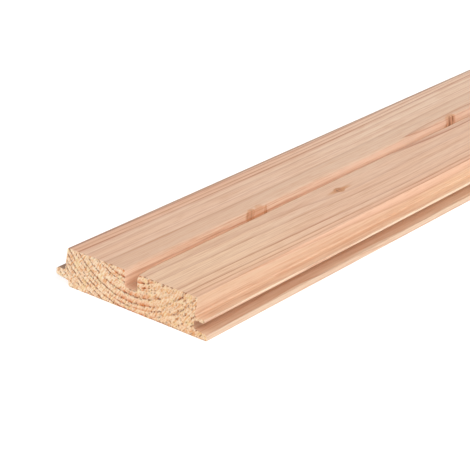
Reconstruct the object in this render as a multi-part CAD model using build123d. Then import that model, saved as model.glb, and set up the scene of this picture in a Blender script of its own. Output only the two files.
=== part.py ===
from build123d import *
import os
from math import radians, tan

# Double rhombus cladding board, moulded from one piece of softwood.
# The section lies in the YZ plane: the back is at the bottom, the two rhombus faces are on top,
# the tongue points to +Y and the groove opens to -Y. The board runs along X.

# Overall sizes, in millimetres
board_length = 3000.0
board_thickness = 26.0

# The two faces and the shadow groove between them
face_width = 47.0
shadow_groove_width = 10.0
shadow_groove_depth = 11.5

# The joint with the next board
flank_slope = 12.0             # degrees from upright, both flanks lean towards the tongue
joint_gap = 8.0                # open gap between this board's face and the next one's
ledge_height = 13.0            # from the back to the ledge that closes the joint gap
upper_lip_thickness = 2.1
tongue_length = 8.0            # beyond the flank at the height of the ledge
tongue_root_thickness = 6.7
tongue_underside_slope = 8.0   # degrees, the tongue thins towards its tip
shoulder_setback = 2.0         # of the shoulder under the tongue, behind the flank's foot
joint_clearance = 0.2          # between the tongue and the lips, and at the upper lip's end
tip_clearance = 0.6            # between the tongue's tip and the bottom of the groove
back_gap = 1.0                 # between the lower lip and the next board's shoulder

# Edge radii
tongue_side_arris_radius = 1.2
groove_side_arris_radius = 0.6
shadow_groove_near_arris_radius = 1.5
shadow_groove_far_arris_radius = 0.7
shadow_groove_floor_radius = 1.0
flank_foot_radius = 1.0
lip_edge_radius = 0.4
groove_root_radius = 2.0       # under the upper lip, at the bottom of the groove
groove_bottom_radius = 1.0
shoulder_radius = 1.7
tongue_root_radius = 0.7
tongue_tip_top_radius = 2.5
tongue_tip_under_radius = 1.3

# A fillet takes at most this share of each straight run beside it
fillet_share = 0.48


def flank_offset(height):
    """How far a flank has moved towards the tongue at this height above the back."""
    return (board_thickness - height) * tan(radians(flank_slope))


def underside_height(y):
    """Height of the tongue's underside above the back, at this distance across the board."""
    rise = (y - shoulder_y) * tan(radians(tongue_underside_slope))
    return tongue_top - tongue_root_thickness + rise


# Heights above the back
tongue_top = ledge_height - upper_lip_thickness - joint_clearance
groove_top = ledge_height - upper_lip_thickness
shadow_groove_floor = board_thickness - shadow_groove_depth

# Distances across the board, from the face's edge on the tongue side
shadow_groove_near = -face_width
shadow_groove_far = shadow_groove_near - shadow_groove_width
face_far_edge = shadow_groove_far - face_width
cover_width = joint_gap - face_far_edge
tongue_tip_y = flank_offset(ledge_height) + tongue_length
shoulder_y = flank_offset(ledge_height) - shoulder_setback

# The groove side is the tongue side moved over by one cover width, with the clearances added
upper_lip_shift = joint_clearance - cover_width
groove_bottom_y = tongue_tip_y - cover_width + tip_clearance
lower_lip_y = shoulder_y - cover_width + back_gap
groove_floor_inner = underside_height(groove_bottom_y + cover_width) - joint_clearance
groove_floor_mouth = underside_height(lower_lip_y + cover_width) - joint_clearance


def section_corners():
    """The section's corners in order, each with its point across and up the board and its radius."""
    face = [
        ((0, board_thickness), tongue_side_arris_radius),
        ((shadow_groove_near, board_thickness), shadow_groove_near_arris_radius),
        ((shadow_groove_near, shadow_groove_floor), shadow_groove_floor_radius),
        ((shadow_groove_far, shadow_groove_floor), shadow_groove_floor_radius),
        ((shadow_groove_far, board_thickness), shadow_groove_far_arris_radius),
        ((face_far_edge, board_thickness), groove_side_arris_radius),
    ]
    groove_side = [
        ((face_far_edge + flank_offset(ledge_height), ledge_height), flank_foot_radius),
        ((flank_offset(ledge_height) + upper_lip_shift, ledge_height), lip_edge_radius),
        ((flank_offset(groove_top) + upper_lip_shift, groove_top), lip_edge_radius),
        ((groove_bottom_y, groove_top), groove_root_radius),
        ((groove_bottom_y, groove_floor_inner), groove_bottom_radius),
        ((lower_lip_y, groove_floor_mouth), lip_edge_radius),
        ((lower_lip_y, 0), lip_edge_radius),
    ]
    tongue_side = [
        ((shoulder_y, 0), shoulder_radius),
        ((shoulder_y, underside_height(shoulder_y)), tongue_root_radius),
        ((tongue_tip_y, underside_height(tongue_tip_y)), tongue_tip_under_radius),
        ((tongue_tip_y, tongue_top), tongue_tip_top_radius),
        ((flank_offset(tongue_top), tongue_top), tongue_root_radius),
    ]
    return face + groove_side + tongue_side


def radius_between(before, corner, after, radius):
    """The wanted corner radius, or the largest one that the straight runs beside it leave room for."""
    incoming = Vector(*corner) - Vector(*before)
    outgoing = Vector(*after) - Vector(*corner)
    turn = radians(incoming.get_angle(outgoing))
    room = fillet_share * min(incoming.length, outgoing.length)
    return min(radius, room / tan(turn / 2))


def board_section():
    """The moulded section as one face, centred on the width over tongue and lower lip."""
    centre = (tongue_tip_y + lower_lip_y) / 2
    corners = section_corners()
    points = [(y - centre, z) for (y, z), radius in corners]
    radii = [
        radius_between(points[i - 1], points[i], points[(i + 1) % len(points)], corners[i][1])
        for i in range(len(points))
    ]
    outline = FilletPolyline(*points, radius=radii, close=True)
    return make_face(Plane.YZ * outline)


# The board, with both ends sawn square
cladding_board = extrude(board_section(), amount=board_length / 2, dir=(1, 0, 0), both=True)

os.makedirs("parts", exist_ok=True)
export_step(cladding_board, "parts/cladding_board.step")
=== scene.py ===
import math
import random

import bpy
import numpy as np
from mathutils import Matrix, Vector, geometry, kdtree, noise


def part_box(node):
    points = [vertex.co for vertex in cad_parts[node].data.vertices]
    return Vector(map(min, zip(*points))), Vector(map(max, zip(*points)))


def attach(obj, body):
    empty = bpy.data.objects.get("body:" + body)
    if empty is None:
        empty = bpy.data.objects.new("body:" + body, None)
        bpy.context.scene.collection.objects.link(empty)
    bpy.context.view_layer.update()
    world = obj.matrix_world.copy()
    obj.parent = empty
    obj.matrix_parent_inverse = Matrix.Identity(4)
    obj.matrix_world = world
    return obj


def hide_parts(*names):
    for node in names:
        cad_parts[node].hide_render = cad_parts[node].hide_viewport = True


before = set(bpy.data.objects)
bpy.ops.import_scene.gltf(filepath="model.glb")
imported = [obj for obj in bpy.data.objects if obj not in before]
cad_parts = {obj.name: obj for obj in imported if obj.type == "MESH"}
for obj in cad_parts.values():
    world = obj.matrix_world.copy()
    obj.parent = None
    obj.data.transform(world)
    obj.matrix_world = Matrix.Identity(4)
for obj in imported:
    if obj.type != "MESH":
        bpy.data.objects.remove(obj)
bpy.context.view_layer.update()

# The board's box comes from its part in model.glb. It and all other sizes of the board are in millimetres.
MM = 0.001
board_low, board_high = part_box("cladding_board")
board_length = (board_high.x - board_low.x) / MM
board_width = (board_high.y - board_low.y) / MM
board_thickness = (board_high.z - board_low.z) / MM
half_length = board_length / 2

# The moulded section: two rhombus faces, a shadow groove between them, a tongue and a groove
face_width = 47.0
shadow_groove_width = 10.0
shadow_groove_depth = 11.5
flank_slope = math.radians(12.0)
joint_gap = 8.0
ledge_height = 13.0
upper_lip_thickness = 2.1
tongue_length = 8.0
tongue_root_thickness = 6.7
underside_slope = math.radians(8.0)
shoulder_setback = 2.0
joint_clearance = 0.2
tip_clearance = 0.6
back_gap = 1.0

# Edge radii of the section
tongue_side_arris = 1.2
groove_side_arris = 0.6
shadow_groove_near_arris = 1.5
shadow_groove_far_arris = 0.7
shadow_groove_floor_corner = 1.0
flank_foot = 1.0
lip_edge = 0.4
groove_root = 2.0
groove_bottom_corner = 1.0
shoulder_corner = 1.7
tongue_root = 0.7
tongue_tip_top = 2.5
tongue_tip_under = 1.3

# How finely the board is drawn: along its arcs, over its sawn ends and along its length. The skirt and the
# inset are how far in from an end the outline is drawn again, first finely and then plainly. Edges that turn
# by more than the sharp angle stay crisp.
arc_step = 0.3
end_step = 0.32
end_jitter = 0.1
end_skirt = 1.5
end_inset = 12.0
stations = 30
sharp_angle = math.radians(40)

# The log that the board was cut from. Its pith ran above the faces and wandered along the board.
pith_across = -3.6
pith_height = 61.0
pith_sway = 2.2
pith_sway_length = 620.0
pith_sway_start = -1440.0
pith_heave = 1.3
pith_heave_length = 700.0
pith_heave_start = -1480.0

# The saw's teeth ran down and towards the tongue, and pulled the fibres out in short streaks and finer fuzz.
# They broke the near end's corner beside the shadow groove off round.
saw_angle = math.radians(130.0)
broken_corner = 4.2
broken_corner_inside = 2.4
streak_length = 4.0
streak_width = 0.9
fuzz_length = 1.1
fuzz_width = 0.6

# How deep a sawn end lies: all over, in its streaks, in its fuzz and in a torn pit of depth 1
end_depth = 0.03
streak_depth = 0.12
fuzz_depth = 0.08
pit_depth = 0.45

# How pale the end's fibres are, from 0 to 1; how much painted shade darkens them where streaks and fuzz lie
# deeper; and how much paler they are under the shadow groove and at the tongue. These two fade in across the
# board.
end_pale = 0.62
streak_painted_shade = 1.2
fuzz_painted_shade = 1.0
paler_under_slot = 0.15
under_slot_middle = -5.0
under_slot_reach = 25.5
under_slot_fade = 17.0
paler_at_tongue = 0.2
tongue_start = 48.0
tongue_fade = 4.0

# Torn pits, each pair of values as the least and the most. Dashes run in rows along the rings, a little
# inside their ends, and the groove's side has fewer. It starts where the cosine of the angle about the pith
# falls under the side limit. Specks lie loose. Chips lie along the edge, most of them at the back's height.
dash_spacing = (0.8, 2.1)
dash_half_length = (0.5, 1.2)
dash_half_width = (0.4, 0.6)
dash_depth = (0.4, 1.0)
dash_inside = 0.3
dash_scatter = 0.2
dash_turn = 0.3
dash_row_length = 9.0
dash_row_fullness = 0.6
dash_row_change = 0.9
dash_share = 1.5
dash_share_on_groove_side = 0.45
dash_side_limit = -0.1
specks = 280
speck_half_length = (0.4, 0.9)
speck_half_width = (0.35, 0.55)
speck_depth = (0.15, 0.75)
speck_depth_power = 1.5
speck_turn = 0.4
chip_size = (0.6, 1.2)
chip_height_share = 0.8
chip_depth = (0.4, 0.9)
chip_chance = 0.04
chip_chance_at_back = 0.22
back_edge_height = 0.6

# Growth rings from the faces down to the back: the radius about the pith where a ring ends, how dark its
# late wood is on the tongue's side and on the groove's side of the pith, and how much the saw tore it
ring_core = 31.5
growth_rings = [
    (34.6, 0.55, 0.90, 0.3),
    (38.3, 0.00, 0.45, 0.1),
    (42.3, 0.50, 0.50, 0.4),
    (45.4, 0.35, 0.10, 1.0),
    (46.9, 0.55, 0.50, 0.1),
    (52.0, 0.40, 0.75, 0.9),
    (56.7, 1.00, 0.80, 1.0),
    (59.6, 0.80, 0.80, 0.5),
    (63.0, 1.00, 0.50, 0.9),
    (66.3, 0.60, 0.12, 0.8),
    (69.8, 0.75, 0.20, 0.9),
    (73.5, 0.55, 0.40, 0.9),
    (77.2, 0.70, 0.50, 0.9),
    (80.9, 0.55, 0.50, 0.8),
    (85.0, 0.60, 0.50, 0.6),
]

# Branches that left knots. Each has a point on its axis, its radius there, how far it pushes the rings out,
# how far along and across the board that reaches, and how much darker the late wood is there. Then come the
# share of its radius that is dark heart, and how strongly its body, its heart, its rim and its tails along
# the grain show. The last one lies hidden and only bends the rings.
knots = [
    {"at": (-1385.5, 2.4, 20.0), "radius": 3.6, "push": 0.4, "reach": 40.0, "spread": 12.0, "dense": 0.0,
     "heart": 0.95, "body": 0.5, "heart_dark": 0.3, "rim_dark": 0.0, "tail": 0.1},
    {"at": (-1377.5, 1.2, 20.0), "radius": 4.6, "push": 0.4, "reach": 40.0, "spread": 12.0, "dense": 0.0,
     "heart": 0.1, "body": 0.4, "heart_dark": 0.0, "rim_dark": 0.0, "tail": 0.0},
    {"at": (-1371.0, 2.4, 18.0), "radius": 1.6, "push": 0.0, "reach": 40.0, "spread": 12.0, "dense": 0.0,
     "heart": 0.9, "body": 0.5, "heart_dark": 0.4, "rim_dark": 0.0, "tail": 0.3},
    {"at": (-1323.5, -19.5, 26.0), "radius": 3.2, "push": 0.8, "reach": 45.0, "spread": 13.0, "dense": 0.1,
     "heart": 0.75, "body": 0.75, "heart_dark": 0.85, "rim_dark": 0.15, "tail": 0.8},
    {"at": (-1164.0, 2.0, 20.0), "radius": 5.4, "push": 1.9, "reach": 115.0, "spread": 22.0, "dense": 0.35,
     "heart": 0.75, "body": 0.5, "heart_dark": 0.7, "rim_dark": 0.0, "tail": 0.1},
    {"at": (-1295.0, -30.0, 26.0), "radius": 2.0, "push": 2.0, "reach": 105.0, "spread": 22.0, "dense": 0.0,
     "heart": 0.1, "body": 0.0, "heart_dark": 0.0, "rim_dark": 0.0, "tail": 0.0},
]

# Where the planed wood has another tint under its grain, some of it painted light and shade: the tint, how
# strong it gets, and the two values of each measure between which it comes up. Measures are in millimetres,
# with along counted from the near end, but tongue side goes from 0 to 1.
wood_and_painted_light_zones = [
    # The wood towards the faces' outer edges is redder
    ("E8AE8A", 0.40, [("ring radius", 54.0, 59.0)]),
    # The outer wood on the groove's side is yellower, and painted light makes its flank paler towards the
    # back, where shade falls
    ("D4B691", 0.45, [("ring radius", 61.5, 64.0), ("tongue side", 1.0, 0.0)]),
    ("F8D8BD", 0.45, [("ring radius", 61.5, 64.0), ("tongue side", 1.0, 0.0), ("height", 24.0, 18.0)]),
    # The inner wood is warmer at the near end on the groove's side
    ("FFDCB6", 0.50, [("ring radius", 63.0, 57.0), ("tongue side", 1.0, 0.0), ("along", 170.0, 40.0)]),
    # On the tongue's side a painted sheen makes it paler further along, and it is duller beside the shadow
    # groove
    ("F6DEC5", 0.50, [("tongue side", 0.0, 1.0), ("along", 90.0, 340.0)]),
    ("DDBBA0", 0.45, [("tongue side", 0.0, 1.0), ("ring radius", 43.5, 41.5)]),
    # The flank on the groove's side is yellower further along
    ("FFE4BC", 0.30, [("ring radius", 61.5, 64.0), ("tongue side", 1.0, 0.0), ("along", 140.0, 320.0)]),
    # The shadow groove's walls are paler, with painted light on their upper part that fades out lower down,
    # where shade falls
    ("FFE4CB", 0.75, [("off slot", 7.0, 5.0), ("height", 25.9, 23.8), ("height", 17.5, 22.5)]),
    # A painted highlight makes the upper lip's edge pale, and the lower lip's edge is a shade greyer
    ("FFE8CC", 0.45, [("across", -57.6, -59.2), ("height", 8.0, 10.0)]),
    ("DCC6AE", 0.45, [("across", -57.6, -59.2), ("height", 8.0, 6.0)]),
]

# What lies over the grain, painted shade and painted light among it, in the same form
surface_zones = [
    # The shadow groove's walls are fuzzy further along, so that their grain shows less, and painted light
    # brightens their upper part there
    ("FFE0C9", 0.60, [("off slot", 7.0, 5.0), ("height", 25.9, 23.8), ("height", 17.5, 22.5),
                      ("along", 130.0, 230.0)]),
    # Painted shade darkens the inside of the groove, under the upper lip
    ("B88868", 0.50, [("across", -48.0, -50.0), ("across", -59.0, -57.0), ("height", 11.6, 11.0)]),
    # Painted shade darkens the edge on the tongue's side, which turns away from the lamps, and the tongue,
    # which lies in the flank's shade
    ("86695A", 0.60, [("across", 46.6, 48.0), ("across", 49.6, 48.2)]),
    ("8A6A4C", 0.68, [("across", 51.6, 53.0)]),
]


def linear(code):
    """A colour written as sRGB hex, as the linear values that a shader takes."""
    channels = [int(code[i:i + 2], 16) / 255 for i in (0, 2, 4)]
    return [c / 12.92 if c <= 0.04045 else ((c + 0.055) / 1.055) ** 2.4 for c in channels] + [1.0]


def add_node(tree, kind, links=None, output=0, **settings):
    """Adds a node, sets it, fills its inputs with values or links, and returns one of its outputs."""
    node = tree.nodes.new(kind)
    for name, value in settings.items():
        setattr(node, name, value)
    for socket, value in (links or {}).items():
        if isinstance(value, bpy.types.NodeSocket):
            tree.links.new(value, node.inputs[socket])
        else:
            node.inputs[socket].default_value = value
    return node.outputs[output] if len(node.outputs) else node


# The section's outline

def flank_offset(height):
    """How far a flank has moved towards the tongue at this height above the back."""
    return (board_thickness - height) * math.tan(flank_slope)


def section_corners():
    """The section's corners in order, across and up the board, each with its edge radius."""
    far_face_edge = -2 * face_width - shadow_groove_width
    cover = joint_gap - far_face_edge
    tongue_tip = flank_offset(ledge_height) + tongue_length
    shoulder = flank_offset(ledge_height) - shoulder_setback
    tongue_top = ledge_height - upper_lip_thickness - joint_clearance
    groove_top = ledge_height - upper_lip_thickness
    groove_bottom = tongue_tip - cover + tip_clearance
    lower_lip = shoulder - cover + back_gap
    slot_floor = board_thickness - shadow_groove_depth

    def underside(across):
        return tongue_top - tongue_root_thickness + (across - shoulder) * math.tan(underside_slope)

    corners = [
        (0, board_thickness, tongue_side_arris),
        (-face_width, board_thickness, shadow_groove_near_arris),
        (-face_width, slot_floor, shadow_groove_floor_corner),
        (-face_width - shadow_groove_width, slot_floor, shadow_groove_floor_corner),
        (-face_width - shadow_groove_width, board_thickness, shadow_groove_far_arris),
        (far_face_edge, board_thickness, groove_side_arris),
        (far_face_edge + flank_offset(ledge_height), ledge_height, flank_foot),
        (flank_offset(ledge_height) - cover + joint_clearance, ledge_height, lip_edge),
        (flank_offset(groove_top) - cover + joint_clearance, groove_top, lip_edge),
        (groove_bottom, groove_top, groove_root),
        (groove_bottom, underside(groove_bottom + cover) - joint_clearance, groove_bottom_corner),
        (lower_lip, underside(lower_lip + cover) - joint_clearance, lip_edge),
        (lower_lip, 0, lip_edge),
        (shoulder, 0, shoulder_corner),
        (shoulder, underside(shoulder), tongue_root),
        (tongue_tip, underside(tongue_tip), tongue_tip_under),
        (tongue_tip, tongue_top, tongue_tip_top),
        (flank_offset(tongue_top), tongue_top, tongue_root),
    ]
    middle = (tongue_tip + lower_lip) / 2
    return [(Vector((across - middle, height)), radius) for across, height, radius in corners]


def rounded_outline(corners):
    """Points round the section, with every corner drawn as an arc."""
    outline = []
    for i, (corner, radius) in enumerate(corners):
        incoming = (corner - corners[i - 1][0]).normalized()
        outgoing = (corners[(i + 1) % len(corners)][0] - corner).normalized()
        turn = math.atan2(incoming.cross(outgoing), incoming.dot(outgoing))
        start = corner - incoming * radius * math.tan(abs(turn) / 2)
        centre = start + Vector((-incoming.y, incoming.x)) * math.copysign(radius, turn)
        steps = max(2, round(abs(turn) * radius / arc_step))
        for step in range(steps + 1):
            outline.append(centre + Matrix.Rotation(turn * step / steps, 2) @ (start - centre))
    return outline


def divided(outline, step):
    """The same outline with its long runs divided, and where its own points lie in the new list."""
    points = []
    kept = []
    for i, point in enumerate(outline):
        after = outline[(i + 1) % len(outline)]
        parts = max(1, math.ceil((after - point).length / step))
        kept.append(len(points))
        points += [point.lerp(after, part / parts) for part in range(parts)]
    return points, kept


# The sawn ends

def pith_at(x):
    """Where the pith ran at this distance along the board: across and up."""
    sway = math.sin(2 * math.pi * (x - pith_sway_start) / pith_sway_length)
    heave = math.cos(2 * math.pi * (x - pith_heave_start) / pith_heave_length)
    return pith_across - pith_sway * sway, pith_height + pith_heave * heave


def torn_pits(outline, x, draw):
    """Holes where the saw pulled fibres out: place, angle, half length, half width and depth of each."""
    across, height = pith_at(x)
    pits = []
    # Rows of dashes along the rings, mostly on the tongue's side
    for radius, _, _, tear in growth_rings:
        angle = -math.pi
        while angle < 0:
            angle += draw.uniform(*dash_spacing) / radius
            on_tongue_side = math.cos(angle) > dash_side_limit
            side = 1.0 if on_tongue_side else dash_share_on_groove_side
            along_ring = angle * radius / dash_row_length
            row = dash_row_fullness + dash_row_change * noise.noise((along_ring, radius, x))
            if draw.random() > tear * side * row * dash_share:
                continue
            distance = radius + draw.gauss(-dash_inside, dash_scatter)
            place = (across + distance * math.cos(angle), height + distance * math.sin(angle))
            lean = angle + math.pi / 2 + draw.gauss(0, dash_turn)
            depth = draw.uniform(*dash_depth)
            length = draw.uniform(*dash_half_length)
            width = draw.uniform(*dash_half_width)
            pits.append((place, lean, length, width, depth))
    # Loose specks along the saw's way, more of them on the groove's side, and more shallow than deep
    for _ in range(specks):
        share = math.sqrt(draw.random())
        place = ((0.5 - share) * board_width, draw.uniform(0, 1) * board_thickness)
        lean = saw_angle + draw.gauss(0, speck_turn)
        depth = draw.uniform(*speck_depth) ** speck_depth_power
        length = draw.uniform(*speck_half_length)
        width = draw.uniform(*speck_half_width)
        pits.append((place, lean, length, width, depth))
    # Chips along the edge, most of them where the saw came out at the back
    for point in outline:
        chance = chip_chance_at_back if point.y < back_edge_height else chip_chance
        if draw.random() < chance:
            size = draw.uniform(*chip_size)
            depth = draw.uniform(*chip_depth)
            pits.append((tuple(point), 0.0, size, chip_height_share * size, depth))
    return pits


def pit_depths(points, pits):
    """How deep each point of an end lies in a torn pit, from 0 to 1."""
    depths = np.zeros(len(points))
    for (across, height), lean, length, width, depth in pits:
        aside = points - (across, height)
        along = aside @ (math.cos(lean), math.sin(lean))
        over = aside @ (-math.sin(lean), math.cos(lean))
        reach = (along / length) ** 2 + (over / width) ** 2
        depths = np.maximum(depths, depth * np.exp(-reach ** 2))
    return depths


def saw_streaks(points, length, width, seed):
    """Noise drawn out along the saw's way, from -1 to 1 at each point of an end."""
    way = (math.cos(saw_angle), math.sin(saw_angle))
    along = points @ way / length
    over = points @ (-way[1], way[0]) / width
    return np.array([noise.noise((a, o, seed)) for a, o in zip(along, over)])


def sawn_end(outline, x, inward, seed):
    """One sawn end: its points, its triangles, and at each point how torn and how pale the fibres are, both
    with painted shade where the end lies deeper.
    The outline's points come first."""
    count = len(outline)
    tree = kdtree.KDTree(count)
    for i, point in enumerate(outline):
        tree.insert((point.x, point.y, 0), i)
    tree.balance()

    draw = random.Random(seed)
    row_step = end_step * math.sqrt(0.75)
    edge_room = 0.6 * end_step
    grid = []
    for row in range(int(board_thickness / row_step) + 1):
        for column in range(int(board_width / end_step) + 1):
            across = (column + 0.5 * (row % 2)) * end_step - board_width / 2
            across += draw.uniform(-end_jitter, end_jitter)
            height = row * row_step + draw.uniform(-end_jitter, end_jitter)
            if tree.find((across, height, 0))[2] > edge_room:
                grid.append(Vector((across, height)))

    # The triangles that lie inside the outline
    loop = [(i, (i + 1) % count) for i in range(count)]
    flat, _, triangles, sources, _, _ = geometry.delaunay_2d_cdt(outline + grid, loop, [], 1, 1e-6)
    used = sorted({i for triangle in triangles for i in triangle})
    order = sorted(used, key=lambda i: sources[i][0])
    place = {old: new for new, old in enumerate(order)}
    flat = np.array([flat[i] for i in order])
    triangles = [[place[i] for i in triangle] for triangle in triangles]

    torn_and_shaded = pit_depths(flat, torn_pits(outline, x, draw))
    streak = saw_streaks(flat, streak_length, streak_width, seed)
    fuzz = saw_streaks(flat, fuzz_length, fuzz_width, seed + 20)
    depth = np.clip(end_depth + streak_depth * streak + fuzz_depth * fuzz + pit_depth * torn_and_shaded, 0, None)
    off_slot = np.abs(flat[:, 0] - under_slot_middle)
    paler = paler_under_slot * np.clip((under_slot_reach - off_slot) / under_slot_fade, 0, 1)
    paler += paler_at_tongue * np.clip((flat[:, 0] - tongue_start) / tongue_fade, 0, 1)
    # Streaks and fuzz that lie deeper are darker: painted shade in the saw's marks
    pale = np.clip(end_pale + paler - streak_painted_shade * streak - fuzz_painted_shade * fuzz, 0, 1)
    points = [Vector((x + inward * d, across, height)) for d, (across, height) in zip(depth, flat)]
    return points, triangles, list(torn_and_shaded), list(pale)


def with_broken_corner(outline, corner, size):
    """The outline with this corner, on the groove's side of the shadow groove, broken off round."""
    centre = corner - Vector((size, size))
    slack = 0.01
    broken = []
    for point in outline:
        if centre.x < point.x < corner.x + slack and point.y > centre.y:
            point = centre + (point - centre).normalized() * size
        broken.append(point)
    return broken


# The board's mesh

def board_mesh():
    """The whole board as one closed mesh, with which of its faces are sawn ends, and for each point how far
    round the section it lies and how torn and how pale its fibres are, both with painted shade in the ends'
    hollows."""
    corners = section_corners()
    coarse = rounded_outline(corners)
    fine, kept = divided(coarse, end_step)
    # The shadow groove's edge on the groove's side, fifth in the section's order
    slot_corner = corners[4][0]
    trip = [0.0]
    for i, point in enumerate(fine):
        trip.append(trip[-1] + (fine[(i + 1) % len(fine)] - point).length)
    fine_trip = trip[:-1]
    coarse_trip = [trip[k] for k in kept]
    points = []
    faces = []
    board = {"ends": set(), "trips": [], "torn_and_shaded": [], "pale": [], "round": trip[-1]}

    def add_ring(outline, x, trips):
        first = len(points)
        points.extend(Vector((x, p.x, p.y)) for p in outline)
        board["trips"].extend(trips)
        # Only the sawn ends show these two
        board["torn_and_shaded"].extend([0.0] * len(outline))
        board["pale"].extend([0.5] * len(outline))
        return list(range(first, first + len(outline)))

    def add_end(outline, x, inward, seed):
        first = len(points)
        end_points, triangles, torn_and_shaded, pale = sawn_end(outline, x, inward, seed)
        points.extend(end_points)
        board["trips"].extend(fine_trip + [0.0] * (len(end_points) - len(fine)))
        board["torn_and_shaded"].extend(torn_and_shaded)
        board["pale"].extend(pale)
        for triangle in triangles:
            board["ends"].add(len(faces))
            faces.append([first + i for i in triangle])
        return list(range(first, first + len(fine)))

    def join(ring, following):
        for i in range(len(ring)):
            j = (i + 1) % len(ring)
            faces.append([ring[i], ring[j], following[j], following[i]])

    def fan(ring, sparse):
        """Joins a finely divided ring to one that has only the outline's own points."""
        for i in range(len(sparse)):
            j = (i + 1) % len(sparse)
            last = kept[j] if j else len(ring)
            run = [ring[k % len(ring)] for k in range(kept[i], last + 1)]
            middle = len(run) // 2
            faces.extend([sparse[i], run[k + 1], run[k]] for k in range(middle))
            faces.append([sparse[i], sparse[j], run[middle]])
            faces.extend([sparse[j], run[k + 1], run[k]] for k in range(middle, len(run) - 1))

    near = add_end(with_broken_corner(fine, slot_corner, broken_corner), -half_length, inward=1, seed=3)
    near_skirt = add_ring(with_broken_corner(fine, slot_corner, broken_corner_inside),
                          -half_length + end_skirt, fine_trip)
    far = add_end(fine, half_length, inward=-1, seed=8)
    far_skirt = add_ring(fine, half_length - end_skirt, fine_trip)
    inner_length = board_length - 2 * end_inset
    rings = [
        add_ring(coarse, -half_length + end_inset + inner_length * i / stations, coarse_trip)
        for i in range(stations + 1)
    ]
    join(near, near_skirt)
    fan(near_skirt, rings[0])
    for ring, following in zip(rings, rings[1:]):
        join(ring, following)
    fan(far_skirt, rings[-1])
    join(far_skirt, far)

    mesh = bpy.data.meshes.new("cladding_board_wood")
    mesh.from_pydata([p * MM for p in points], [], faces)
    return mesh, board


def lay_out_for_baking(mesh, board):
    """Lays the board out flat: each half of its length is one strip, and its two ends lie above them."""
    layer = mesh.uv_layers.new(name="OFBake")
    strip = 0.43
    gap = 0.01
    end_height = 1 - 2 * (strip + gap) - gap
    for polygon in mesh.polygons:
        trips = [board["trips"][v] for v in polygon.vertices]
        crosses_start = max(trips) - min(trips) > board["round"] / 2
        far_half = polygon.center.x > 0
        for loop in polygon.loop_indices:
            vertex = mesh.loops[loop].vertex_index
            x, across, height = mesh.vertices[vertex].co / MM
            if polygon.index in board["ends"]:
                u = gap / 2 + (1 / 2 - gap) * (across / board_width + 0.5) + (0.5 if far_half else 0)
                v = 2 * (strip + gap) + end_height * height / board_thickness
            else:
                turned = board["trips"][vertex]
                if crosses_start and turned < board["round"] / 2:
                    turned += board["round"]
                u = x / half_length + (0 if far_half else 1)
                v = strip * turned / board["round"] + (strip + gap if far_half else 0)
            layer.data[loop].uv = (u, v)


def build_board():
    """The board as an object, with outward faces, smooth arcs and crisp sawn edges."""
    mesh, board = board_mesh()
    for polygon in mesh.polygons:
        polygon.use_smooth = True
        polygon.material_index = 1 if polygon.index in board["ends"] else 0
    for name in ("torn_and_shaded", "pale"):
        attribute = mesh.attributes.new(name, "FLOAT", "POINT")
        attribute.data.foreach_set("value", board[name])
    lay_out_for_baking(mesh, board)
    wood = bpy.data.objects.new("cladding_board_wood", mesh)
    bpy.context.scene.collection.objects.link(wood)
    bpy.context.view_layer.objects.active = wood
    wood.select_set(True)
    bpy.ops.object.mode_set(mode="EDIT")
    bpy.ops.mesh.select_all(action="SELECT")
    bpy.ops.mesh.normals_make_consistent(inside=False)
    bpy.ops.object.mode_set(mode="OBJECT")
    mesh.set_sharp_from_angle(angle=sharp_angle)
    return wood


# The wood

def knots_further_along():
    """Plain knots on the rest of the board, one at each place where the tree had a branch."""
    draw = random.Random(21)
    first = -1000.0
    end_clearance = 60.0
    spacing = (150, 330)
    found = []
    x = first
    while x < half_length - end_clearance:
        across, height = pith_at(x)
        lean = draw.uniform(-0.75, 0.75)
        depth = height - draw.uniform(0, board_thickness)
        found.append({
            "at": (x, across + depth * math.tan(lean), height - depth),
            "radius": draw.uniform(2.5, 6.5),
            "push": draw.uniform(0.6, 2.2),
            "reach": draw.uniform(45, 90),
            "spread": draw.uniform(13, 22),
            "dense": draw.uniform(0.0, 0.4),
            "heart": draw.uniform(0.5, 0.7),
            "body": draw.uniform(0.4, 0.7),
            "heart_dark": draw.uniform(0.3, 0.8),
            "rim_dark": draw.uniform(0.1, 0.5),
            "tail": draw.uniform(0.1, 0.5),
        })
        x += draw.uniform(*spacing)
    return found


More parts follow.
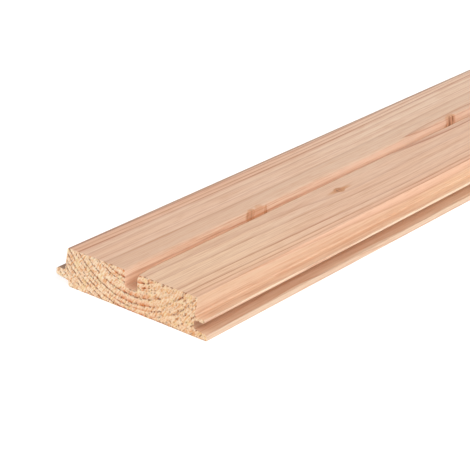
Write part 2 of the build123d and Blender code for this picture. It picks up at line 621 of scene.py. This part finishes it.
def knot_group():
    """A group of nodes for one knot: how far it pushes the rings out, how much darker the late wood is round
    it, and where its body and its dark parts are."""
    longer_along = (0.8, 1, 1)
    tail_along = (0.2, 1.1, 1.1)
    least_radius = 0.5
    # Where each effect starts or is full, as a share of the knot's reach, radius or heart
    dense_full = 0.4
    body_start = 1.25
    body_full = 0.8
    heart_core_share = 0.6
    rim_place = 0.9
    rim_width = 0.35
    tail_full = 0.2
    group = bpy.data.node_groups.new("knot", "ShaderNodeTree")
    vectors = ("Place", "Root", "Axis", "Spread")
    numbers = ("Wobble", "Broken", "Stripe", "Taper", "Push", "Dense", "Heart", "Body", "Heart Dark",
               "Rim Dark", "Tail")
    for name in vectors:
        group.interface.new_socket(name, in_out="INPUT", socket_type="NodeSocketVector")
    for name in numbers:
        group.interface.new_socket(name, in_out="INPUT", socket_type="NodeSocketFloat")
    for name in ("Push", "Dense", "Body", "Dark"):
        group.interface.new_socket(name, in_out="OUTPUT", socket_type="NodeSocketFloat")
    given = group.nodes.new("NodeGroupInput").outputs

    offset = add_node(group, "ShaderNodeVectorMath", {0: given["Place"], 1: given["Root"]},
                      operation="SUBTRACT")
    along = add_node(group, "ShaderNodeVectorMath", {0: offset, 1: given["Axis"]}, operation="DOT_PRODUCT",
                     output="Value")
    foot = add_node(group, "ShaderNodeVectorMath", {0: given["Axis"], "Scale": along}, operation="SCALE")
    aside = add_node(group, "ShaderNodeVectorMath", {0: offset, 1: foot}, operation="SUBTRACT")
    # The rings bend over a long stretch of the board and a short one across it
    spread = add_node(group, "ShaderNodeVectorMath", {0: aside, 1: given["Spread"]}, operation="MULTIPLY")
    spread = add_node(group, "ShaderNodeVectorMath", {0: spread}, operation="LENGTH", output="Value")
    push = add_node(group, "ShaderNodeMapRange", {"Value": spread, "From Min": 1.0, "From Max": 0.0,
                    "To Max": given["Push"]}, interpolation_type="SMOOTHERSTEP")
    dense = add_node(group, "ShaderNodeMapRange", {"Value": spread, "From Min": 1.0,
                     "From Max": dense_full, "To Max": given["Dense"]}, interpolation_type="SMOOTHSTEP")
    # Distance from the knot's axis as a share of its radius, which grows outwards from the pith
    girth = add_node(group, "ShaderNodeVectorMath", {0: aside, 1: longer_along}, operation="MULTIPLY")
    girth = add_node(group, "ShaderNodeVectorMath", {0: girth}, operation="LENGTH", output="Value")
    radius = add_node(group, "ShaderNodeMath", {0: along, 1: given["Taper"]}, operation="MULTIPLY")
    radius = add_node(group, "ShaderNodeMath", {0: radius, 1: least_radius}, operation="MAXIMUM")
    girth = add_node(group, "ShaderNodeMath", {0: girth, 1: radius}, operation="DIVIDE")
    girth = add_node(group, "ShaderNodeMath", {0: girth, 1: given["Wobble"]}, operation="ADD")
    body = add_node(group, "ShaderNodeMapRange", {"Value": girth, "From Min": body_start,
                    "From Max": body_full, "To Max": given["Body"]}, interpolation_type="SMOOTHSTEP")
    heart_core = add_node(group, "ShaderNodeMath", {0: given["Heart"], 1: heart_core_share},
                          operation="MULTIPLY")
    heart = add_node(group, "ShaderNodeMapRange", {"Value": girth, "From Min": given["Heart"],
                     "From Max": heart_core, "To Max": given["Heart Dark"]},
                     interpolation_type="SMOOTHSTEP")
    heart = add_node(group, "ShaderNodeMath", {0: heart, 1: given["Stripe"]}, operation="MULTIPLY")
    off_rim = add_node(group, "ShaderNodeMath", {0: girth, 1: rim_place}, operation="SUBTRACT")
    off_rim = add_node(group, "ShaderNodeMath", {0: off_rim}, operation="ABSOLUTE")
    rim = add_node(group, "ShaderNodeMapRange", {"Value": off_rim, "From Min": rim_width, "From Max": 0.0,
                   "To Max": given["Rim Dark"]}, interpolation_type="SMOOTHSTEP")
    # Tails of its colour run out of it along the grain
    tail = add_node(group, "ShaderNodeVectorMath", {0: aside, 1: tail_along}, operation="MULTIPLY")
    tail = add_node(group, "ShaderNodeVectorMath", {0: tail}, operation="LENGTH", output="Value")
    tail = add_node(group, "ShaderNodeMath", {0: tail, 1: radius}, operation="DIVIDE")
    tail = add_node(group, "ShaderNodeMapRange", {"Value": tail, "From Min": 1.0,
                    "From Max": tail_full, "To Max": given["Tail"]}, interpolation_type="SMOOTHSTEP")
    tail = add_node(group, "ShaderNodeMath", {0: tail, 1: given["Broken"]}, operation="MULTIPLY")
    body = add_node(group, "ShaderNodeMath", {0: body, 1: tail}, operation="MAXIMUM")
    rim = add_node(group, "ShaderNodeMath", {0: rim, 1: given["Broken"]}, operation="MULTIPLY")
    dark = add_node(group, "ShaderNodeMath", {0: heart, 1: rim}, operation="MAXIMUM")
    add_node(group, "NodeGroupOutput", {"Push": push, "Dense": dense, "Body": body, "Dark": dark})
    return group


def stretched_noise(tree, place, along, over, detail):
    """Noise with this size in millimetres along the board and across it."""
    scaled = add_node(tree, "ShaderNodeVectorMath", {0: place, 1: (1 / along, 1 / over, 1 / over)},
                      operation="MULTIPLY")
    return add_node(tree, "ShaderNodeTexNoise", {"Vector": scaled, "Scale": 1.0, "Detail": detail},
                    output="Fac")


def wave_along(tree, x, operation, length, start):
    """A slow wave along the board, of this length and from this start."""
    turn = 2 * math.pi / length
    phase = add_node(tree, "ShaderNodeMath", {0: x, 1: turn, 2: -turn * start}, operation="MULTIPLY_ADD")
    return add_node(tree, "ShaderNodeMath", {0: phase}, operation=operation)


def fir_growth(tree, knot):
    """Adds the nodes of the log's growth and returns its patterns."""
    place = add_node(tree, "ShaderNodeTexCoord", output="Object")
    place = add_node(tree, "ShaderNodeVectorMath", {0: place, "Scale": 1 / MM}, operation="SCALE")
    x = add_node(tree, "ShaderNodeSeparateXYZ", {0: place})
    sway = wave_along(tree, x, "SINE", pith_sway_length, pith_sway_start)
    heave = wave_along(tree, x, "COSINE", pith_heave_length, pith_heave_start)
    wander = add_node(tree, "ShaderNodeCombineXYZ", {"Y": sway, "Z": heave})
    pith = add_node(tree, "ShaderNodeVectorMath", {0: wander, 1: (0, -pith_sway, pith_heave),
                    2: (0, pith_across, pith_height)}, operation="MULTIPLY_ADD")

    from_pith = add_node(tree, "ShaderNodeVectorMath", {0: place, 1: pith}, operation="SUBTRACT")
    from_pith = add_node(tree, "ShaderNodeVectorMath", {0: from_pith, 1: (0, 1, 1)}, operation="MULTIPLY")
    aside = add_node(tree, "ShaderNodeSeparateXYZ", {0: from_pith}, output="Y")
    radius = add_node(tree, "ShaderNodeVectorMath", {0: from_pith}, operation="LENGTH", output="Value")
    drift = stretched_noise(tree, place, along=130.0, over=14.0, detail=2.0)
    drift = add_node(tree, "ShaderNodeMapRange", {"Value": drift, "To Min": -1.0, "To Max": 1.0})
    # The rings drift more towards the flanks and the back
    more_drift_from = 62.0
    most_drift_from = 70.0
    least_drift = 0.7
    most_drift = 6.0
    sweep = add_node(tree, "ShaderNodeMapRange", {"Value": radius, "From Min": more_drift_from,
                     "From Max": most_drift_from, "To Min": least_drift, "To Max": most_drift},
                     interpolation_type="SMOOTHSTEP")
    radius = add_node(tree, "ShaderNodeMath", {0: drift, 1: sweep, 2: radius}, operation="MULTIPLY_ADD")

    # Knots are uneven in outline, and their rims and tails are broken
    wobble = stretched_noise(tree, place, along=6.0, over=3.0, detail=2.0)
    wobble = add_node(tree, "ShaderNodeMapRange", {"Value": wobble, "To Min": -0.5, "To Max": 0.5})
    broken = stretched_noise(tree, place, along=4.0, over=2.5, detail=1.0)
    broken = add_node(tree, "ShaderNodeMapRange", {"Value": broken, "From Min": 0.32, "From Max": 0.48})
    # A knot that is cut lengthwise shows stripes along the branch
    stripe = stretched_noise(tree, place, along=1.4, over=9.0, detail=1.0)
    stripe = add_node(tree, "ShaderNodeMapRange", {"Value": stripe, "From Min": 0.42, "From Max": 0.58,
                      "To Min": 0.1})
    bend = 0.0
    dense = 0.0
    body = 0.0
    dark = 0.0
    for branch in knots + knots_further_along():
        point = Vector(branch["at"])
        root = Vector((point.x, *pith_at(point.x)))
        effect = add_node(tree, "ShaderNodeGroup", {
            "Place": place, "Wobble": wobble, "Broken": broken, "Stripe": stripe,
            "Root": root, "Axis": (point - root).normalized(),
            "Taper": branch["radius"] / (point - root).length,
            "Spread": (1 / branch["reach"], 1 / branch["spread"], 1 / branch["spread"]),
            "Push": branch["push"], "Dense": branch["dense"], "Body": branch["body"],
            "Heart": branch["heart"], "Heart Dark": branch["heart_dark"],
            "Rim Dark": branch["rim_dark"], "Tail": branch["tail"],
        }, node_tree=knot).node.outputs
        bend = add_node(tree, "ShaderNodeMath", {0: bend, 1: effect["Push"]}, operation="ADD")
        dense = add_node(tree, "ShaderNodeMath", {0: dense, 1: effect["Dense"]}, operation="MAXIMUM")
        body = add_node(tree, "ShaderNodeMath", {0: body, 1: effect["Body"]}, operation="MAXIMUM")
        dark = add_node(tree, "ShaderNodeMath", {0: dark, 1: effect["Dark"]}, operation="MAXIMUM")
    radius = add_node(tree, "ShaderNodeMath", {0: radius, 1: bend}, operation="SUBTRACT")

    # Red and green hold each ring's strength on the two sides of the pith, and blue rises through the ring
    ring_rim = growth_rings[-1][0]
    ring_end = 0.25
    late_power = 4.5
    side_blend = 12.0
    through = add_node(tree, "ShaderNodeMapRange", {"Value": radius, "From Min": ring_core,
                       "From Max": ring_rim})
    rings = add_node(tree, "ShaderNodeValToRGB", {"Fac": through})
    stops = rings.node.color_ramp.elements
    inner = ring_core
    for outer, tongue_side, groove_side, _ in growth_rings:
        for at, rise in ((inner, 0), (outer - ring_end, 1)):
            share = (at - ring_core) / (ring_rim - ring_core)
            stop = stops[0] if share == 0 else stops.new(share)
            stop.color = (tongue_side, groove_side, rise, 1)
        inner = outer
    stops[-1].color = (0, 0, 0, 1)
    rings = add_node(tree, "ShaderNodeSeparateColor", {0: rings}).node.outputs
    tongue_side = add_node(tree, "ShaderNodeMapRange", {"Value": aside, "From Min": -side_blend,
                           "From Max": side_blend}, interpolation_type="SMOOTHSTEP")
    # A mix node takes its two numbers at inputs 2 and 3
    strength = add_node(tree, "ShaderNodeMix", {0: tongue_side, 2: rings["Green"], 3: rings["Red"]})
    strength = add_node(tree, "ShaderNodeMath", {0: strength, 1: dense}, operation="ADD")
    late = add_node(tree, "ShaderNodeMath", {0: rings["Blue"], 1: late_power}, operation="POWER")
    late = add_node(tree, "ShaderNodeMath", {0: late, 1: strength}, operation="MULTIPLY")
    patchy = stretched_noise(tree, place, along=60.0, over=4.0, detail=2.0)
    patchy = add_node(tree, "ShaderNodeMapRange", {"Value": patchy, "From Min": 0.3, "From Max": 0.7,
                      "To Min": 0.55, "To Max": 1.2})
    late = add_node(tree, "ShaderNodeMath", {0: late, 1: patchy}, operation="MULTIPLY")
    return {"place": place, "aside": aside, "tongue_side": tongue_side, "radius": radius, "late": late,
            "rise": rings["Blue"], "body": body, "dark": dark}


def zone_tints(tree, zones, measures):
    """Each zone's tint, and how far its limits let it show."""
    tints = []
    for tint, most, limits in zones:
        share = most
        for measure, start, full in limits:
            rise = add_node(tree, "ShaderNodeMapRange", {"Value": measures[measure], "From Min": start,
                            "From Max": full}, interpolation_type="SMOOTHSTEP")
            share = add_node(tree, "ShaderNodeMath", {0: share, 1: rise}, operation="MULTIPLY")
        tints.append((share, tint))
    return tints


def tinted(tree, ground, tints):
    """The ground colour with each tint mixed over it in turn, by its share."""
    colour = linear(ground)
    # A mix node takes its two colours at inputs 6 and 7
    for share, tint in tints:
        colour = add_node(tree, "ShaderNodeMix", {0: share, 6: colour, 7: linear(tint)}, output=2,
                          data_type="RGBA")
    return colour


def planed_fir(knot):
    """Planed Douglas fir, left bare: pinkish early wood, thin brown late wood lines, a faint satin sheen."""
    material = bpy.data.materials.new("planed_fir")
    material.use_nodes = True
    tree = material.node_tree
    shader = tree.nodes["Principled BSDF"]
    growth = fir_growth(tree, knot)
    place = growth["place"]
    spot = add_node(tree, "ShaderNodeSeparateXYZ", {0: place}).node.outputs
    along = add_node(tree, "ShaderNodeMath", {0: spot["X"], 1: half_length}, operation="ADD")
    # The shadow groove's two floor corners are third and fourth in the section's order
    corners = section_corners()
    slot_middle = (corners[2][0].x + corners[3][0].x) / 2
    off_slot = add_node(tree, "ShaderNodeMath", {0: spot["Y"], 1: slot_middle}, operation="SUBTRACT")
    off_slot = add_node(tree, "ShaderNodeMath", {0: off_slot}, operation="ABSOLUTE")
    measures = {"along": along, "across": spot["Y"], "height": spot["Z"], "off slot": off_slot,
                "ring radius": growth["radius"], "tongue side": growth["tongue_side"]}

    band = stretched_noise(tree, place, along=260.0, over=6.0, detail=3.0)
    band = add_node(tree, "ShaderNodeMapRange", {"Value": band, "From Min": 0.3, "From Max": 0.7})
    # Single fibres are too fine to show, so they are drawn as streaks about a millimetre wide
    fibre = stretched_noise(tree, place, along=70.0, over=0.9, detail=3.0)
    streak = add_node(tree, "ShaderNodeMapRange", {"Value": fibre, "From Min": 0.45, "From Max": 0.7,
                      "To Max": 0.7})
    fleck = stretched_noise(tree, place, along=14.0, over=0.6, detail=2.0)
    fleck = add_node(tree, "ShaderNodeMapRange", {"Value": fleck, "From Min": 0.5, "From Max": 0.75,
                     "To Max": 0.6})
    colour = tinted(tree, "F2CEB3", [
        (band, "F0C6A7"),
        *zone_tints(tree, wood_and_painted_light_zones, measures),
        (streak, "DCA884"),
        (fleck, "D39C76"),
        (growth["late"], "AC4F16"),
        *zone_tints(tree, surface_zones, measures),
        (growth["body"], "CE8448"),
        (growth["dark"], "7A3C10"),
    ])
    tree.links.new(colour, shader.inputs["Base Color"])
    sheen = add_node(tree, "ShaderNodeMapRange", {"Value": fibre, "To Min": 0.4, "To Max": 0.6})
    tree.links.new(sheen, shader.inputs["Roughness"])
    shader.inputs["IOR"].default_value = 1.5
    # Late wood and fibres stand up a little
    late_share = 0.5
    relief_height = 0.2 * MM
    relief = add_node(tree, "ShaderNodeMath", {0: growth["late"], 1: late_share, 2: fibre},
                      operation="MULTIPLY_ADD")
    relief = add_node(tree, "ShaderNodeBump", {"Height": relief, "Strength": 0.3,
                      "Distance": relief_height})
    tree.links.new(relief, shader.inputs["Normal"])
    return material


def sawn_fir(knot):
    """Sawn end grain of Douglas fir: pale torn fibres, orange late wood and dark pits along the rings, with
    painted shade in the pits and deeper streaks.
    """
    material = bpy.data.materials.new("sawn_fir_end_grain")
    material.use_nodes = True
    tree = material.node_tree
    shader = tree.nodes["Principled BSDF"]
    growth = fir_growth(tree, knot)
    torn_and_shaded = add_node(tree, "ShaderNodeAttribute", attribute_name="torn_and_shaded", output="Fac")
    pale = add_node(tree, "ShaderNodeAttribute", attribute_name="pale", output="Fac")
    # The groove's side is a shade more orange
    groove_side = add_node(tree, "ShaderNodeMapRange", {"Value": growth["tongue_side"], "From Min": 1.0,
                           "From Max": 0.0, "To Max": 0.2})
    # Patches of the fibres are yellower, and the outer part of a ring is orange straight under the pith
    patch = stretched_noise(tree, growth["place"], along=5.0, over=5.0, detail=2.0)
    yellow = add_node(tree, "ShaderNodeMapRange", {"Value": patch, "From Min": 0.52, "From Max": 0.68,
                      "To Max": 0.5})
    orange_power = 2.0
    line_strength = 0.5
    below = add_node(tree, "ShaderNodeMath", {0: growth["aside"]}, operation="ABSOLUTE")
    below = add_node(tree, "ShaderNodeMapRange", {"Value": below, "From Min": 26.0, "From Max": 6.0},
                     interpolation_type="SMOOTHSTEP")
    orange = add_node(tree, "ShaderNodeMath", {0: growth["rise"], 1: orange_power}, operation="POWER")
    orange = add_node(tree, "ShaderNodeMath", {0: orange, 1: below}, operation="MULTIPLY")
    gaps = add_node(tree, "ShaderNodeMapRange", {"Value": patch, "From Min": 0.6, "From Max": 0.4,
                    "To Min": 0.15, "To Max": 1.2})
    orange = add_node(tree, "ShaderNodeMath", {0: orange, 1: gaps}, operation="MULTIPLY")
    line = add_node(tree, "ShaderNodeMath", {0: growth["late"], 1: line_strength}, operation="MULTIPLY")
    colour = tinted(tree, "E8A974", [
        (pale, "FFE8CA"),
        (groove_side, "E8AC72"),
        (yellow, "F6DCA4"),
        (orange, "E07E40"),
        (line, "B3622C"),
        # Deeper in a torn pit or chip the colour darkens: partly the torn wood's own colour, partly painted
        # shade
        (torn_and_shaded, "823008"),
    ])
    tree.links.new(colour, shader.inputs["Base Color"])
    shader.inputs["Roughness"].default_value = 0.8
    shader.inputs["IOR"].default_value = 1.5
    shader.inputs["Specular IOR Level"].default_value = 0.1
    return material


# The studio

def build_floor():
    """A plain white floor that keeps the board's soft shadow."""
    reach = 8.0
    below = -0.3 * MM
    mesh = bpy.data.meshes.new("floor")
    sides = ((-1, -1), (1, -1), (1, 1), (-1, 1))
    mesh.from_pydata([(reach * x, reach * y, below) for x, y in sides], [], [(0, 1, 2, 3)])
    floor = bpy.data.objects.new("floor", mesh)
    bpy.context.scene.collection.objects.link(floor)
    material = bpy.data.materials.new("white_floor")
    material.use_nodes = True
    tree = material.node_tree
    tree.nodes.clear()
    glow = add_node(tree, "ShaderNodeEmission", {"Color": linear("FFFFFF"), "Strength": 0.78})
    matt = add_node(tree, "ShaderNodeBsdfDiffuse", {"Color": linear("B4B4B4")})
    surface = add_node(tree, "ShaderNodeAddShader", {0: glow, 1: matt})
    add_node(tree, "ShaderNodeOutputMaterial", {"Surface": surface})
    mesh.materials.append(material)


def add_lamp(name, round_from_side, up, softness, energy):
    """A sun lamp, by its angles from the groove's side round towards the near end and up from the floor."""
    data = bpy.data.lights.new(name, "SUN")
    data.energy = energy
    data.angle = math.radians(softness)
    lamp = bpy.data.objects.new(name, data)
    turn = math.radians(round_from_side)
    level = math.cos(math.radians(up))
    towards = Vector((-math.sin(turn) * level, -math.cos(turn) * level, math.sin(math.radians(up))))
    lamp.rotation_euler = (-towards).to_track_quat("-Z", "Y").to_euler()
    bpy.context.scene.collection.objects.link(lamp)


def build_lights():
    """White all round, a broad soft key on the groove's side, and a weaker lamp before the sawn end, a
    little to the tongue's side of it."""
    light_from_around = 0.04
    white_background = 1.0
    world = bpy.data.worlds.new("studio")
    bpy.context.scene.world = world
    world.use_nodes = True
    tree = world.node_tree
    tree.nodes.clear()
    rays = add_node(tree, "ShaderNodeLightPath").node.outputs
    seen = add_node(tree, "ShaderNodeMath", {0: rays["Is Camera Ray"], 1: rays["Is Glossy Ray"]},
                    operation="MAXIMUM")
    seen = add_node(tree, "ShaderNodeMath", {0: seen, 1: rays["Is Transmission Ray"]}, operation="MAXIMUM")
    level = add_node(tree, "ShaderNodeMapRange", {"Value": seen, "To Min": light_from_around,
                     "To Max": white_background})
    white = add_node(tree, "ShaderNodeBackground", {"Color": linear("FFFFFF"), "Strength": level})
    add_node(tree, "ShaderNodeOutputWorld", {"Surface": white})
    add_lamp("key", round_from_side=4, up=41, softness=45, energy=2.33)
    add_lamp("end_lamp", round_from_side=125, up=45, softness=40, energy=1.43)


def build_camera():
    """The camera at the photograph's viewing angle, before the sawn end and above the groove's side."""
    look_down = 24.231
    look_round = 49.522
    data = bpy.data.cameras.new("camera")
    data.sensor_width = 36.0
    data.lens = 137.2
    camera = bpy.data.objects.new("camera", data)
    camera.location = (-2.1762, -0.6590, 0.4729)
    camera.rotation_euler = (math.radians(90 - look_down), 0, math.radians(-look_round))
    bpy.context.scene.collection.objects.link(camera)
    bpy.context.scene.camera = camera


knot = knot_group()
board = build_board()
board.data.materials.append(planed_fir(knot))
board.data.materials.append(sawn_fir(knot))
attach(board, "root")
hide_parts("cladding_board")

build_floor()
build_lights()
build_camera()
bpy.context.scene.view_settings.view_transform = "Standard"
